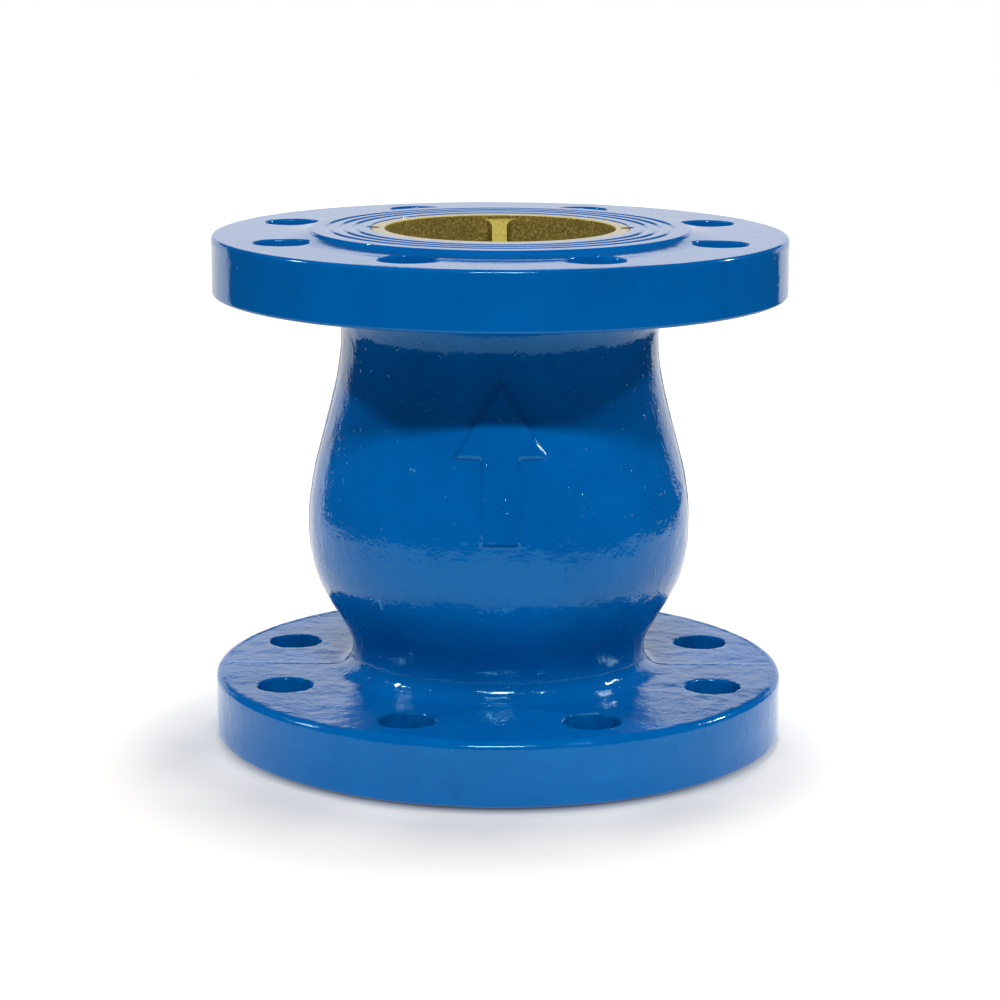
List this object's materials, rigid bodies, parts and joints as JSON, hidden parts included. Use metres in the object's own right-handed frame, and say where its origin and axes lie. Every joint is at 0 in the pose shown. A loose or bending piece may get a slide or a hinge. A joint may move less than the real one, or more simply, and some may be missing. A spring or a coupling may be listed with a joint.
{
  "type": "flanged axial check valve",
  "caption": "Double-flanged spring-loaded axial check valve: pear-shaped casing, guided disc and stem that lift off a lipped seat, ring-and-arm guides in both bores.",
  "frame": {"origin": "centre of the inlet sealing face, which the valve stands on", "axes": "+Z along the flow, from the inlet face to the outlet face; the bolt holes straddle X and Y, the cast flow arrow is on -Y and the lock screws are on X"},
  "size_m": [0.2, 0.2, 0.18],
  "materials": {
    "blue_coating": "gloss",
    "cast_brass": "satin",
    "turned_brass": "satin",
    "stainless": "satin",
    "spring_steel": "satin",
    "black_rubber": "matte",
    "bush_polymer": "matte"
  },
  "bodies": {
    "casing": {"body": "blue_coating", "outlet_guide": "cast_brass", "outlet_lock_screws": "turned_brass", "outlet_bush_upper": "bush_polymer", "outlet_bush_lower": "bush_polymer", "seat_ring": "cast_brass", "seat_lock_screws": "turned_brass", "seat_o_ring": "black_rubber", "inlet_bush": "bush_polymer", "spring": "spring_steel", "spring_seat": "stainless"},
    "follower": {"spring_follower": "stainless"},
    "disc_assembly": {"disc": "turned_brass", "disc_seal": "black_rubber", "seal_retainer": "stainless", "retainer_screws": "stainless", "stem": "stainless", "stem_o_ring": "black_rubber", "stem_lock_washer": "stainless", "stem_nut": "stainless"}
  },
  "joints": [
    {"name": "disc_lift", "type": "slide", "parent": "casing", "child": "follower", "axis": [0, 0, 1], "range_m": [0, 0.02], "stiffness_N_per_m": 700, "springref_m": -0.02, "deforming": ["spring"]},
    {"name": "disc_spin", "type": "hinge", "parent": "follower", "child": "disc_assembly", "pos_m": [0, 0, 0.054], "axis": [0, 0, 1], "continuous": true}
  ]
}
